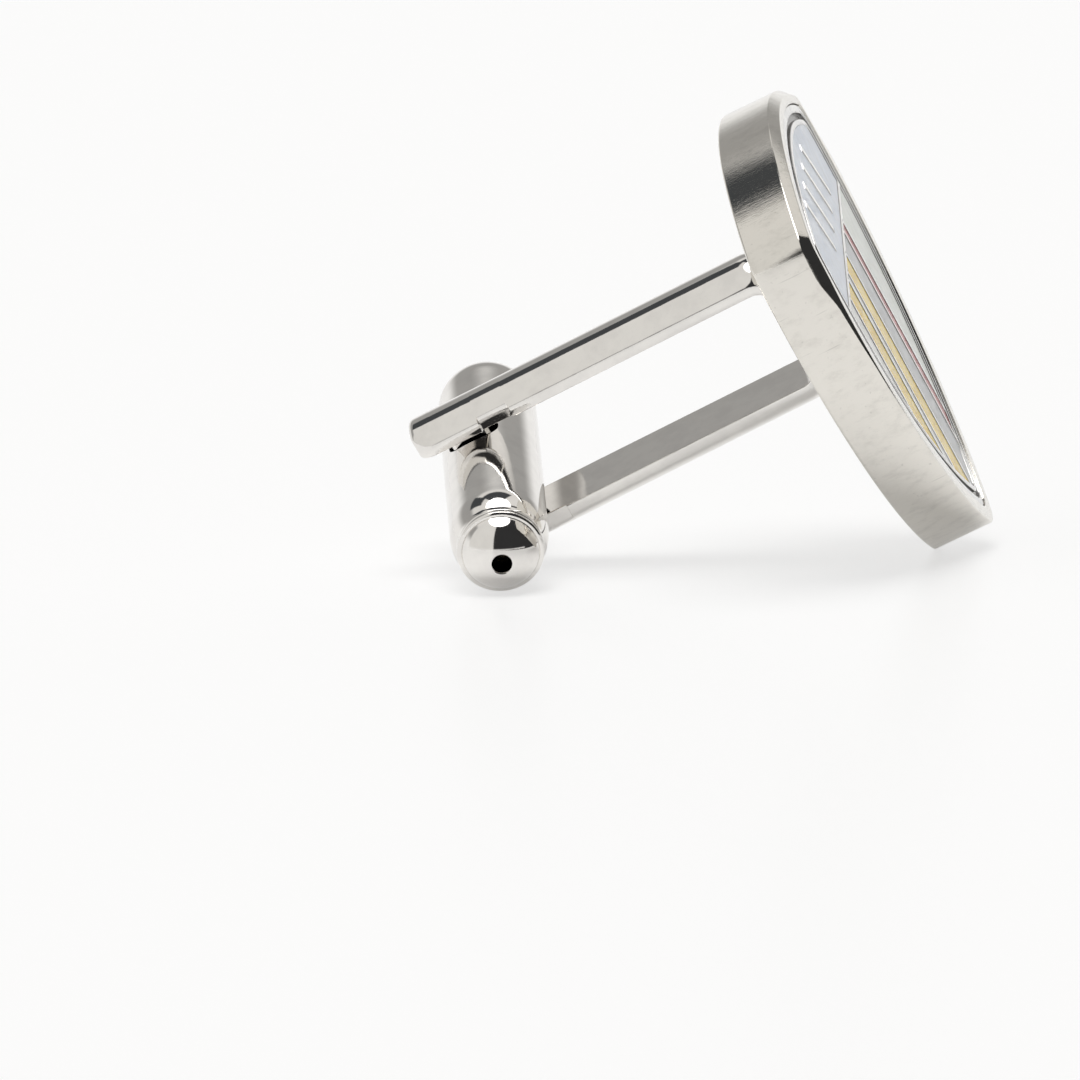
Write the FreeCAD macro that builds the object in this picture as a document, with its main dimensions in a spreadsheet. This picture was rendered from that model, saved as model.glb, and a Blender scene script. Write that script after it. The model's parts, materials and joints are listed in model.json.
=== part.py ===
import FreeCAD, Part
import math
import os
import Sketcher

Vector = FreeCAD.Vector

# A swivel-toggle cufflink with a shield-shaped enamelled head.
# Local axes: origin on the toggle's pivot, X out to the head, Y along the toggle, Z up the shield.
# The finished pieces lie as on a table, on the toggle's near end, the lower arm and the shield's point.

# Sizes in millimetres and degrees
size = {
    # shield outline, about the pivot's height
    "half_width": 8.8,
    "side_radius": 17.4,
    "side_level": 3.0,
    "top_radius": 16.6,
    "top_rise": 8.28,
    "tip_radius": 2.1,
    "corner_radius": 1.2,
    "inner_corner": 0.8,
    # case
    "reach": 14.71,
    "case_depth": 2.7,
    "rim_chamfer": 0.36,
    "back_round": 0.12,
    "rim_width": 0.75,
    "recess_depth": 1.3,
    "head_turn": -3.0,
    "head_tilt": 1.16,
    # badge plate
    "badge_clearance": 0.03,
    "badge_thickness": 1.25,
    "border_width": 0.37,
    "groove_width": 0.3,
    "groove_depth": 0.2,
    "ridge_width": 0.25,
    "field_depth": 0.36,
    "enamel_thickness": 0.33,
    "rib_width": 0.28,
    "chief_level": 1.9,
    "baton_width": 0.45,
    "baton_margin": 0.8,
    "baton_pitch": 2.1,
    "baton_slant": 24.0,
    # forked shank
    "strip_width": 2.88,
    "strip_edge": 0.46,
    "strip_crown": 0.72,
    "fork_gap": 4.65,
    "bend_radius": 0.7,
    "tip_reach": 2.2,
    "tip_round": 0.8,
    "bridge_flat": 0.45,
    "notch_length": 1.45,
    "notch_depth": 0.16,
    "far_notch_place": -0.475,
    "near_notch_place": 1.425,
    # solder under the bridge
    "solder_thickness": 0.1,
    "solder_margin": 0.25,
    "solder_round": 0.7,
    # pivot studs
    "stud_side": 1.7,
    "stud_radius": 1.1,
    "stud_end": 0.9,
    # toggle barrel
    "barrel_radius": 2.04,
    "bore_radius": 1.5,
    "bore_end": 5.5,
    "far_length": 7.85,
    "shoulder_end": 7.45,
    "shoulder_drop": 0.25,
    "shoulder_radius": 5.2,
    "neck_length": 0.55,
    "neck_groove": 0.06,
    "lip_chamfer": 0.08,
    "pivot_clearance": 0.05,
    # domed end plug
    "plug_flange": 0.12,
    "plug_shank": 0.9,
    "plug_clearance": 0.01,
    "dome_rise": 1.2,
    "vent_radius": 0.4,
    # detent plunger and its spring
    "slide_clearance": 0.05,
    "nose_clearance": 0.02,
    "plunger_length": 1.9,
    "spigot_radius": 0.7,
    "spigot_length": 0.8,
    "wire_side": 0.26,
    "coil_radius": 1.05,
    "coil_turns": 6.0,
}

doc = FreeCAD.newDocument("cufflink")
sheet = doc.addObject("Spreadsheet::Sheet", "Sizes")
for row, (alias, value) in enumerate(size.items(), start=1):
    sheet.set("A%d" % row, alias)
    sheet.set("B%d" % row, str(value))
    sheet.setAlias("B%d" % row, alias)
doc.recompute()

QUARTER = math.pi / 2
HALF_TURN = math.pi
FULL_TURN = 2 * math.pi
X_AXIS = Vector(1, 0, 0)
Y_AXIS = Vector(0, 1, 0)
Z_AXIS = Vector(0, 0, 1)
ORIGIN = (-1, 1)


# Helpers for bodies and sketches
def new_body(label):
    body = doc.addObject("PartDesign::Body", label)
    body.Label = label
    return body


def new_sketch(body, role, name, offset=None, tilt=None):
    sketch = body.newObject("Sketcher::SketchObject", name)
    plane = [item for item in body.Origin.OriginFeatures if item.Role == role][0]
    sketch.AttachmentSupport = [(plane, "")]
    sketch.MapMode = "FlatFace"
    if tilt:
        sketch.AttachmentOffset = FreeCAD.Placement(Vector(0, 0, 0), FreeCAD.Rotation(X_AXIS, doc_value(tilt)))
        sketch.setExpression("AttachmentOffset.Rotation.Angle", tilt)
    if offset:
        sketch.setExpression("AttachmentOffset.Base.z", offset)
    return sketch


def bind(sketch, kind, *where, expression):
    """Add a dimension to a sketch and tie it to the sheet."""
    value = doc_value(expression)
    index = sketch.addConstraint(Sketcher.Constraint(kind, *where, value))
    sketch.setExpression("Constraints[%d]" % index, expression)


def doc_value(expression):
    """Value of an expression on the sheet, as a plain number."""
    return float(sheet.evalExpression(expression))


def link(sketch, kind, *where):
    sketch.addConstraint(Sketcher.Constraint(kind, *where))


def add_line(sketch, start, end):
    return sketch.addGeometry(Part.LineSegment(Vector(*start, 0), Vector(*end, 0)), False)


def add_arc(sketch, centre, radius, first, last):
    circle = Part.Circle(Vector(*centre, 0), Z_AXIS, radius)
    return sketch.addGeometry(Part.ArcOfCircle(circle, first, last), False)


def place_point(sketch, edge, point, across=None, up=None):
    """Tie a sketch point's coordinates to the sheet; None leaves one free."""
    if across is not None:
        bind(sketch, "DistanceX", *ORIGIN, edge, point, expression=across)
    if up is not None:
        bind(sketch, "DistanceY", *ORIGIN, edge, point, expression=up)


def polygon(sketch, corners):
    """Closed outline of straight lines through corners given as expressions."""
    values = [(doc_value(across), doc_value(up)) for across, up in corners]
    lines = []
    for index, start in enumerate(values):
        lines.append(add_line(sketch, start, values[(index + 1) % len(values)]))
    for index, line in enumerate(lines):
        link(sketch, "Coincident", line, 2, lines[(index + 1) % len(lines)], 1)
    for line, (across, up) in zip(lines, corners):
        place_point(sketch, line, 1, across, up)
    return lines


def pad(body, sketch, length, name="pad"):
    feature = body.newObject("PartDesign::Pad", name)
    feature.Profile = sketch
    feature.setExpression("Length", length)
    return feature


def pocket_through(body, sketch, name):
    feature = body.newObject("PartDesign::Pocket", name)
    feature.Profile = sketch
    feature.Type = "ThroughAll"
    feature.SideType = "Symmetric"
    return feature


def revolve(body, sketch):
    feature = body.newObject("PartDesign::Revolution", "turned")
    feature.Profile = sketch
    feature.ReferenceAxis = (sketch, ["V_Axis"])
    feature.Angle = math.degrees(FULL_TURN)
    return feature


def edges_where(feature, test):
    names = []
    for index, edge in enumerate(feature.Shape.Edges, start=1):
        if test(edge):
            names.append("Edge%d" % index)
    return names


# Shield outline, set in from the case's outside by the inset expression
def shield(sketch, inset, corner):
    depth = doc_value(inset)
    nook = doc_value(corner)
    side = size["side_radius"] - depth
    top = size["top_radius"] - depth
    tip = size["tip_radius"] - depth
    top_centre = (0, size["top_rise"] - size["top_radius"])
    side_offset = size["side_radius"] - size["half_width"]
    right_centre = (-side_offset, size["side_level"])
    left_centre = (side_offset, size["side_level"])
    tip_centre = (0, size["side_level"] - math.sqrt((side - tip) ** 2 - side_offset ** 2))
    # the corner arc touches the top arc and the side arc from inside
    span_x = right_centre[0] - top_centre[0]
    span_y = right_centre[1] - top_centre[1]
    span = math.hypot(span_x, span_y)
    along = ((top - nook) ** 2 - (side - nook) ** 2 + span ** 2) / (2 * span)
    off = math.sqrt((top - nook) ** 2 - along ** 2)
    corner_x = top_centre[0] + (along * span_x + off * span_y) / span
    corner_y = top_centre[1] + (along * span_y - off * span_x) / span
    top_angle = math.atan2(corner_y - top_centre[1], corner_x - top_centre[0])
    side_angle = math.atan2(corner_y - right_centre[1], corner_x - right_centre[0])
    tip_angle = math.atan2(tip_centre[1] - right_centre[1], tip_centre[0] - right_centre[0])

    right_side = add_arc(sketch, right_centre, side, tip_angle, side_angle)
    right_corner = add_arc(sketch, (corner_x, corner_y), nook, side_angle, top_angle)
    head = add_arc(sketch, top_centre, top, top_angle, HALF_TURN - top_angle)
    left_corner = add_arc(sketch, (-corner_x, corner_y), nook, HALF_TURN - top_angle, HALF_TURN - side_angle)
    left_side = add_arc(sketch, left_centre, side, HALF_TURN - side_angle, HALF_TURN - tip_angle)
    point = add_arc(sketch, tip_centre, tip, HALF_TURN - tip_angle, FULL_TURN + tip_angle)
    ring = [right_side, right_corner, head, left_corner, left_side, point]
    for index, arc in enumerate(ring):
        link(sketch, "Tangent", arc, 2, ring[(index + 1) % len(ring)], 1)
    bind(sketch, "Radius", right_side, expression="Sizes.side_radius - (%s)" % inset)
    bind(sketch, "Radius", head, expression="Sizes.top_radius - (%s)" % inset)
    bind(sketch, "Radius", point, expression="Sizes.tip_radius - (%s)" % inset)
    bind(sketch, "Radius", right_corner, expression=corner)
    link(sketch, "Equal", right_side, left_side)
    link(sketch, "Equal", right_corner, left_corner)
    link(sketch, "Vertical", head, 3, *ORIGIN)
    bind(sketch, "DistanceY", head, 3, *ORIGIN, expression="Sizes.top_radius - Sizes.top_rise")
    offset_text = "Sizes.side_radius - Sizes.half_width"
    bind(sketch, "DistanceX", right_side, 3, *ORIGIN, expression=offset_text)
    bind(sketch, "DistanceY", *ORIGIN, right_side, 3, expression="Sizes.side_level")
    bind(sketch, "DistanceX", *ORIGIN, left_side, 3, expression=offset_text)
    bind(sketch, "DistanceY", *ORIGIN, left_side, 3, expression="Sizes.side_level")


# Case: a shield-shaped cup with a bevelled front rim
front = "Sizes.reach + Sizes.case_depth"
case = new_body("head_case")
case_outline = new_sketch(case, "YZ_Plane", "case_outline", "Sizes.reach")
shield(case_outline, "0 * Sizes.rim_width", "Sizes.corner_radius")
pad(case, case_outline, "Sizes.case_depth")
recess_outline = new_sketch(case, "YZ_Plane", "recess_outline", front)
shield(recess_outline, "Sizes.rim_width", "Sizes.inner_corner")
recess = case.newObject("PartDesign::Pocket", "recess")
recess.Profile = recess_outline
recess.setExpression("Length", "Sizes.recess_depth")
doc.recompute()

front_value = size["reach"] + size["case_depth"]
TOUCH = size["badge_clearance"] / 10


def on_plane(edge, level):
    box = edge.BoundBox
    return abs(box.XMin - level) < TOUCH and abs(box.XMax - level) < TOUCH


def outer_edges(feature, level):
    """Edges at one depth that lie on the case's outside."""
    wires = [face.OuterWire for face in feature.Shape.Faces if on_plane(face, level)]
    rim = max(wires, key=lambda wire: wire.BoundBox.DiagonalLength)
    return edges_where(feature, lambda edge: any(edge.isSame(other) for other in rim.Edges))


bevel = case.newObject("PartDesign::Chamfer", "rim_bevel")
bevel.Base = (recess, outer_edges(recess, front_value))
bevel.setExpression("Size", "Sizes.rim_chamfer")
doc.recompute()
back_edge = case.newObject("PartDesign::Fillet", "back_edge")
back_edge.Base = (bevel, outer_edges(bevel, size["reach"]))
back_edge.setExpression("Radius", "Sizes.back_round")
doc.recompute()

# Badge plate: struck with a double border and raised ribs between the enamel cells
badge_inset = "Sizes.rim_width + Sizes.badge_clearance"
groove_inset = badge_inset + " + Sizes.border_width"
ridge_inset = groove_inset + " + Sizes.groove_width"
field_inset = ridge_inset + " + Sizes.ridge_width"
badge_back = "Sizes.reach + Sizes.case_depth - Sizes.recess_depth"
badge_front = badge_back + " + Sizes.badge_thickness"
field_floor = badge_front + " - Sizes.field_depth"

blank = new_body("badge_blank")
blank_outline = new_sketch(blank, "YZ_Plane", "blank_outline", badge_back)
shield(blank_outline, badge_inset, "Sizes.inner_corner")
pad(blank, blank_outline, "Sizes.badge_thickness")
border_groove = new_sketch(blank, "YZ_Plane", "border_groove", badge_front)
shield(border_groove, groove_inset, "Sizes.inner_corner")
shield(border_groove, ridge_inset, "Sizes.inner_corner")
groove = blank.newObject("PartDesign::Pocket", "groove")
groove.Profile = border_groove
groove.setExpression("Length", "Sizes.groove_depth")

field = new_body("field_prism")
field_outline = new_sketch(field, "YZ_Plane", "field_outline", field_floor)
shield(field_outline, field_inset, "Sizes.inner_corner")
pad(field, field_outline, "2 * Sizes.field_depth")
doc.recompute()


def block(name, low, high):
    """Box between two corners given as expressions."""
    box = doc.addObject("Part::Box", name)
    for axis, side, start, end in zip("xyz", ("Length", "Width", "Height"), low, high):
        box.setExpression("Placement.Base." + axis, start)
        box.setExpression(side, "(%s) - (%s)" % (end, start))
    return box


def common(name, *shapes):
    feature = doc.addObject("Part::MultiCommon", name)
    feature.Shapes = list(shapes)
    return feature


# Enamel cells: a wide chief across the top, upright bars below it
wide = "Sizes.side_radius"
half_rib = "Sizes.rib_width / 2"
cell_low = field_floor
cell_high = badge_front + " + Sizes.field_depth / 2"
enamel_front = field_floor + " + Sizes.enamel_thickness"
rib_shares = (-0.63, -0.4, -0.3, -0.07, 0.22, 0.34)
bar_labels = ["pale_near", "yellow_near", "white", "yellow_far", "grey", "red", "pale_far"]
bounds = ["-" + wide]
for share in rib_shares:
    bounds.append("Sizes.half_width * %s" % share)
bounds.append(wide)

chief_low = "Sizes.chief_level + " + half_rib
chief_high = wide
chief_box = block("chief_box", (cell_low, "-" + wide, chief_low), (cell_high, wide, chief_high))
chief_room = common("chief_room", field, chief_box)

# Slanted raised batons stand in the chief's enamel, clear of its edges
BATON_STEPS = (-1.5, -0.5, 0.5, 1.5)
chief_top = "Sizes.top_rise - (%s)" % field_inset
chief_middle = "(%s + %s) / 2" % (chief_low, chief_top)
lean_cos = "cos(Sizes.baton_slant)"
lean_sin = "sin(Sizes.baton_slant)"
baton_rise = "(%s - (%s) - 2 * Sizes.baton_margin)" % (chief_top, chief_low)
baton_length = "((%s - Sizes.baton_width * %s) / %s)" % (baton_rise, lean_sin, lean_cos)
batons = []
for number, step in enumerate(BATON_STEPS, start=1):
    baton = doc.addObject("Part::Box", "baton_%d" % number)
    baton.setExpression("Length", "2 * Sizes.field_depth")
    baton.setExpression("Width", "Sizes.baton_width")
    baton.setExpression("Height", baton_length)
    centre = "Sizes.baton_pitch * %s" % step
    turn_y = "(Sizes.baton_width * %s - %s * %s) / 2" % (lean_cos, baton_length, lean_sin)
    turn_z = "(Sizes.baton_width * %s + %s * %s) / 2" % (lean_sin, baton_length, lean_cos)
    baton.Placement.Rotation = FreeCAD.Rotation(X_AXIS, size["baton_slant"])
    baton.setExpression("Placement.Rotation.Angle", "Sizes.baton_slant")
    baton.setExpression("Placement.Base.x", field_floor)
    baton.setExpression("Placement.Base.y", centre + " - " + turn_y)
    baton.setExpression("Placement.Base.z", chief_middle + " - " + turn_z)
    batons.append(baton)
baton_row = doc.addObject("Part::MultiFuse", "baton_row")
baton_row.Shapes = batons
chief_cell = doc.addObject("Part::Cut", "chief_cell")
chief_cell.Base = chief_room
chief_cell.Tool = baton_row

cells = [chief_cell]
cell_labels = ["enamel_chief"]
for label, left, right in zip(bar_labels, bounds[:-1], bounds[1:]):
    low = (cell_low, left + " + " + half_rib, "-" + wide)
    high = (cell_high, right + " - " + half_rib, "Sizes.chief_level - " + half_rib)
    cells.append(common("cell_" + label, field, block("box_" + label, low, high)))
    cell_labels.append("enamel_" + label)

cell_set = doc.addObject("Part::MultiFuse", "cell_set")
cell_set.Shapes = cells
badge = doc.addObject("Part::Cut", "badge_plate")
badge.Base = blank
badge.Tool = cell_set
badge.Label = "badge_plate"

enamel_slab = block("enamel_slab", (cell_low, "-" + wide, "-" + wide), (enamel_front, wide, wide))
enamels = []
for label, cell in zip(cell_labels, cells):
    piece = common(label, cell, enamel_slab)
    piece.Label = label
    enamels.append(piece)
doc.recompute()

# Forked shank: one half-round strip bent into a U, its bridge dressed flat
bridge_back = "Sizes.reach - Sizes.solder_thickness"
strip_depth = "(Sizes.strip_edge + Sizes.strip_crown)"
bridge_inside = bridge_back + " + Sizes.bridge_flat - " + strip_depth
half_gap = "Sizes.fork_gap / 2"

fork = new_body("shank_fork")
strip = new_sketch(fork, "YZ_Plane", "strip_section", "-Sizes.tip_reach")
half_width = size["strip_width"] / 2
inner = size["fork_gap"] / 2
outer = inner + size["strip_edge"]
crown_radius_text = "(Sizes.strip_width^2 / 4 + Sizes.strip_crown^2) / (2 * Sizes.strip_crown)"
crown_radius = doc_value(crown_radius_text)
crown_centre = outer + size["strip_crown"] - crown_radius
crown_angle = math.atan2(outer - crown_centre, half_width)
flat = add_line(strip, (-half_width, inner), (half_width, inner))
right_edge = add_line(strip, (half_width, inner), (half_width, outer))
crown = add_arc(strip, (0, crown_centre), crown_radius, crown_angle, HALF_TURN - crown_angle)
left_edge = add_line(strip, (-half_width, outer), (-half_width, inner))
loop = [flat, right_edge, crown, left_edge]
for index, edge in enumerate(loop):
    link(strip, "Coincident", edge, 2, loop[(index + 1) % len(loop)], 1)
link(strip, "Vertical", right_edge)
link(strip, "Vertical", left_edge)
link(strip, "Equal", right_edge, left_edge)
bind(strip, "DistanceX", flat, 1, *ORIGIN, expression="Sizes.strip_width / 2")
bind(strip, "DistanceX", flat, 1, flat, 2, expression="Sizes.strip_width")
bind(strip, "DistanceY", *ORIGIN, flat, 1, expression=half_gap)
bind(strip, "DistanceY", right_edge, 1, right_edge, 2, expression="Sizes.strip_edge")
bind(strip, "Radius", crown, expression=crown_radius_text)

path = new_sketch(fork, "XZ_Plane", "fork_path")
bend = size["bend_radius"]
bridge_x = doc_value(bridge_inside)
turn_x = bridge_x - bend
upper_arm = add_line(path, (-size["tip_reach"], inner), (turn_x, inner))
upper_bend = add_arc(path, (turn_x, inner - bend), bend, 0, QUARTER)
bridge = add_line(path, (bridge_x, inner - bend), (bridge_x, bend - inner))
lower_bend = add_arc(path, (turn_x, bend - inner), bend, -QUARTER, 0)
lower_arm = add_line(path, (turn_x, -inner), (-size["tip_reach"], -inner))
link(path, "Tangent", upper_arm, 2, upper_bend, 2)
link(path, "Tangent", upper_bend, 1, bridge, 1)
link(path, "Tangent", bridge, 2, lower_bend, 2)
link(path, "Tangent", lower_bend, 1, lower_arm, 1)
link(path, "Horizontal", upper_arm)
link(path, "Horizontal", lower_arm)
link(path, "Equal", upper_bend, lower_bend)
bind(path, "Radius", upper_bend, expression="Sizes.bend_radius")
bind(path, "DistanceX", upper_arm, 1, *ORIGIN, expression="Sizes.tip_reach")
bind(path, "DistanceX", lower_arm, 2, *ORIGIN, expression="Sizes.tip_reach")
bind(path, "DistanceY", *ORIGIN, upper_arm, 1, expression=half_gap)
bind(path, "DistanceY", lower_arm, 2, *ORIGIN, expression=half_gap)
bind(path, "DistanceX", *ORIGIN, bridge, 1, expression=bridge_inside)
doc.recompute()
bent = fork.newObject("PartDesign::AdditivePipe", "bent_strip")
bent.Profile = strip
bent.Spine = (path, ["Edge%d" % (index + 1) for index in range(len(path.Geometry))])
doc.recompute()

dressing = new_sketch(fork, "YZ_Plane", "bridge_dressing", bridge_back, "Sizes.head_tilt")
tall = "(Sizes.fork_gap + Sizes.reach)"
polygon(dressing, [("-Sizes.strip_width", "-" + tall), ("Sizes.strip_width", "-" + tall),
                   ("Sizes.strip_width", tall), ("-Sizes.strip_width", tall)])
dressed = fork.newObject("PartDesign::Pocket", "dressed_bridge")
dressed.Profile = dressing
dressed.Type = "ThroughAll"
dressed.Reversed = True
doc.recompute()

# Both tips have rounded corners across their width
tip_ends = new_sketch(fork, "XY_Plane", "tip_ends")
tip_round = size["tip_round"]
tip_x = -size["tip_reach"]
arc_x = tip_x + tip_round
arc_y = half_width - tip_round
beyond = tip_x - size["strip_width"]
wide_side = size["strip_width"]
corners = [(arc_x, half_width), (arc_x, wide_side), (beyond, wide_side),
           (beyond, -wide_side), (arc_x, -wide_side), (arc_x, -half_width)]
scrap = []
for start, end in zip(corners[:-1], corners[1:]):
    scrap.append(add_line(tip_ends, start, end))
far_round = add_arc(tip_ends, (arc_x, arc_y), tip_round, QUARTER, HALF_TURN)
tip_line = add_line(tip_ends, (tip_x, arc_y), (tip_x, -arc_y))
near_round = add_arc(tip_ends, (arc_x, -arc_y), tip_round, HALF_TURN, HALF_TURN + QUARTER)
for first, second in zip(scrap[:-1], scrap[1:]):
    link(tip_ends, "Coincident", first, 2, second, 1)
link(tip_ends, "Coincident", scrap[-1], 2, near_round, 2)
link(tip_ends, "Coincident", far_round, 1, scrap[0], 1)
link(tip_ends, "Tangent", far_round, 2, tip_line, 1)
link(tip_ends, "Tangent", tip_line, 2, near_round, 1)
link(tip_ends, "Equal", far_round, near_round)
link(tip_ends, "Vertical", far_round, 1, far_round, 3)
link(tip_ends, "Vertical", near_round, 2, near_round, 3)
for line in (scrap[0], scrap[2], scrap[4], tip_line):
    link(tip_ends, "Vertical", line)
for line in (scrap[1], scrap[3]):
    link(tip_ends, "Horizontal", line)
bind(tip_ends, "Radius", far_round, expression="Sizes.tip_round")
bind(tip_ends, "DistanceX", tip_line, 1, *ORIGIN, expression="Sizes.tip_reach")
bind(tip_ends, "DistanceY", *ORIGIN, far_round, 3, expression="Sizes.strip_width / 2 - Sizes.tip_round")
bind(tip_ends, "DistanceY", near_round, 3, *ORIGIN, expression="Sizes.strip_width / 2 - Sizes.tip_round")
bind(tip_ends, "DistanceX", scrap[2], 1, *ORIGIN, expression="Sizes.tip_reach + Sizes.strip_width")
bind(tip_ends, "DistanceY", *ORIGIN, scrap[2], 1, expression="Sizes.strip_width")
bind(tip_ends, "DistanceY", scrap[2], 2, *ORIGIN, expression="Sizes.strip_width")
pocket_through(fork, tip_ends, "round_tips")

# Crimp notches in the strip's edges, one on each side
notches = new_sketch(fork, "XY_Plane", "crimp_notches")
floor_in = "Sizes.strip_width / 2 - Sizes.notch_depth"
for sign, place in (("", "Sizes.far_notch_place"), ("-", "Sizes.near_notch_place")):
    start_x = place + " - Sizes.notch_length / 2"
    end_x = place + " + Sizes.notch_length / 2"
    floor_y = sign + "(%s)" % floor_in
    open_y = sign + "Sizes.strip_width"
    polygon(notches, [(start_x, floor_y), (start_x, open_y), (end_x, open_y), (end_x, floor_y)])
pocket_through(fork, notches, "crimps")
doc.recompute()

# Solder under the bridge
solder = new_body("solder_bed")
solder_plan = new_sketch(solder, "YZ_Plane", "solder_plan", bridge_back, "Sizes.head_tilt")
solder_y = "(Sizes.strip_width / 2 + Sizes.solder_margin)"
solder_z = "(Sizes.fork_gap / 2 + Sizes.strip_edge + Sizes.solder_margin)"
polygon(solder_plan, [("-" + solder_y, "-" + solder_z), (solder_y, "-" + solder_z),
                      (solder_y, solder_z), ("-" + solder_y, solder_z)])
solder_pad = pad(solder, solder_plan, "Sizes.solder_thickness")
doc.recompute()
solder_round = solder.newObject("PartDesign::Fillet", "solder_round")
solder_round.Base = (solder_pad, edges_where(
    solder_pad, lambda edge: edge.Length < size["solder_round"]))
solder_round.setExpression("Radius", "Sizes.solder_round")


# Pivot studs: round bars with four flats, one on each arm
def pivot_stud(label, low, high):
    bar = doc.addObject("Part::Cylinder", label + "_bar")
    bar.setExpression("Radius", "Sizes.stud_radius")
    bar.setExpression("Height", "(%s) - (%s)" % (high, low))
    bar.setExpression("Placement.Base.z", low)
    half_side = "Sizes.stud_side / 2"
    flats = block(label + "_flats", ("-" + half_side, "-" + half_side, low), (half_side, half_side, high))
    stud = common(label, bar, flats)
    stud.Label = label
    return stud


upper_stud = pivot_stud("pivot_stud_upper", "Sizes.stud_end", half_gap)
lower_stud = pivot_stud("pivot_stud_lower", "-" + half_gap, "-Sizes.stud_end")

# Toggle barrel: a bored bullet with a domed far end, drawn in to a neck at the near end
barrel = new_body("toggle_barrel")
profile = new_sketch(barrel, "XY_Plane", "barrel_profile")
dome_start = size["far_length"] - size["barrel_radius"]
neck_radius = size["barrel_radius"] - size["shoulder_drop"]
shoulder_angle = math.acos(1 - size["shoulder_drop"] / size["shoulder_radius"])
shoulder_start = size["shoulder_end"] - size["shoulder_radius"] * math.sin(shoulder_angle)
lip = size["shoulder_end"] + size["neck_length"]
groove_mid = size["shoulder_end"] + size["neck_length"] / 2
groove_half = size["neck_groove"]
lip_start = lip - size["lip_chamfer"]
lip_radius = neck_radius - size["lip_chamfer"]
dome = add_arc(profile, (0, dome_start), size["barrel_radius"], 0, QUARTER)
outside = add_line(profile, (size["barrel_radius"], dome_start),
                   (size["barrel_radius"], -shoulder_start))
shoulder_centre = (size["barrel_radius"] - size["shoulder_radius"], -shoulder_start)
shoulder = add_arc(profile, shoulder_centre, size["shoulder_radius"], -shoulder_angle, 0)
steps = [(neck_radius, -size["shoulder_end"]), (neck_radius, groove_half - groove_mid),
         (neck_radius - groove_half, -groove_mid), (neck_radius, -groove_half - groove_mid),
         (neck_radius, -lip_start), (lip_radius, -lip), (size["bore_radius"], -lip),
         (size["bore_radius"], size["bore_end"]), (0, size["bore_end"]), (0, size["far_length"])]
chain = []
for start, end in zip(steps[:-1], steps[1:]):
    chain.append(add_line(profile, start, end))
link(profile, "Tangent", dome, 1, outside, 1)
link(profile, "Tangent", outside, 2, shoulder, 2)
link(profile, "Coincident", shoulder, 1, chain[0], 1)
for first, second in zip(chain[:-1], chain[1:]):
    link(profile, "Coincident", first, 2, second, 1)
link(profile, "Coincident", chain[-1], 2, dome, 2)
link(profile, "Vertical", dome, 3, *ORIGIN)
link(profile, "Vertical", chain[-1], 1, *ORIGIN)
link(profile, "Vertical", chain[-1], 2, *ORIGIN)
link(profile, "Vertical", outside)
bind(profile, "Radius", dome, expression="Sizes.barrel_radius")
bind(profile, "Radius", shoulder, expression="Sizes.shoulder_radius")
neck_text = "Sizes.barrel_radius - Sizes.shoulder_drop"
shoulder_text = "-Sizes.shoulder_end"
lip_text = "-(Sizes.shoulder_end + Sizes.neck_length)"
groove_text = "-(Sizes.shoulder_end + Sizes.neck_length / 2)"
place_point(profile, dome, 2, None, "Sizes.far_length")
place_point(profile, chain[0], 1, neck_text, shoulder_text)
place_point(profile, chain[1], 1, neck_text, groove_text + " + Sizes.neck_groove")
place_point(profile, chain[2], 1, neck_text + " - Sizes.neck_groove", groove_text)
place_point(profile, chain[3], 1, neck_text, groove_text + " - Sizes.neck_groove")
place_point(profile, chain[4], 1, neck_text, lip_text + " + Sizes.lip_chamfer")
place_point(profile, chain[5], 1, neck_text + " - Sizes.lip_chamfer", lip_text)
place_point(profile, chain[6], 1, "Sizes.bore_radius", lip_text)
place_point(profile, chain[7], 1, "Sizes.bore_radius", "Sizes.bore_end")
place_point(profile, chain[8], 1, None, "Sizes.bore_end")
revolve(barrel, profile)
pivot_plan = new_sketch(barrel, "XY_Plane", "pivot_plan")
eye = pivot_plan.addGeometry(Part.Circle(Vector(0, 0, 0), Z_AXIS, size["stud_radius"]), False)
link(pivot_plan, "Coincident", eye, 3, *ORIGIN)
bind(pivot_plan, "Radius", eye, expression="Sizes.stud_radius + Sizes.pivot_clearance")
pocket_through(barrel, pivot_plan, "pivot_eyes")
doc.recompute()

# End plug: a vented dome over the barrel's near end
plug = new_body("end_plug")
plug_profile = new_sketch(plug, "XY_Plane", "plug_profile")
dome_radius = size["bore_radius"] + size["plug_flange"]
ball_text = "((Sizes.bore_radius + Sizes.plug_flange)^2 + Sizes.dome_rise^2) / (2 * Sizes.dome_rise)"
ball = doc_value(ball_text)
ball_y = ball - lip - size["dome_rise"]
shank_radius = size["bore_radius"] - size["plug_clearance"]
seat = size["plug_shank"] - lip
vent = size["vent_radius"]
vent_y = ball_y - math.sqrt(ball ** 2 - vent ** 2)
rim_angle = math.atan2(-lip - ball_y, dome_radius)
vent_angle = math.atan2(vent_y - ball_y, vent)
cap = add_arc(plug_profile, (0, ball_y), ball, vent_angle, rim_angle)
turns = [(dome_radius, -lip), (shank_radius, -lip), (shank_radius, seat), (vent, seat), (vent, vent_y)]
stem = []
for start, end in zip(turns[:-1], turns[1:]):
    stem.append(add_line(plug_profile, start, end))
link(plug_profile, "Coincident", cap, 2, stem[0], 1)
for first, second in zip(stem[:-1], stem[1:]):
    link(plug_profile, "Coincident", first, 2, second, 1)
link(plug_profile, "Coincident", stem[-1], 2, cap, 1)
link(plug_profile, "Vertical", cap, 3, *ORIGIN)
link(plug_profile, "Vertical", stem[-1])
bind(plug_profile, "Radius", cap, expression=ball_text)
place_point(plug_profile, stem[0], 1, "Sizes.bore_radius + Sizes.plug_flange", lip_text)
plug_radius = "Sizes.bore_radius - Sizes.plug_clearance"
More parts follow.
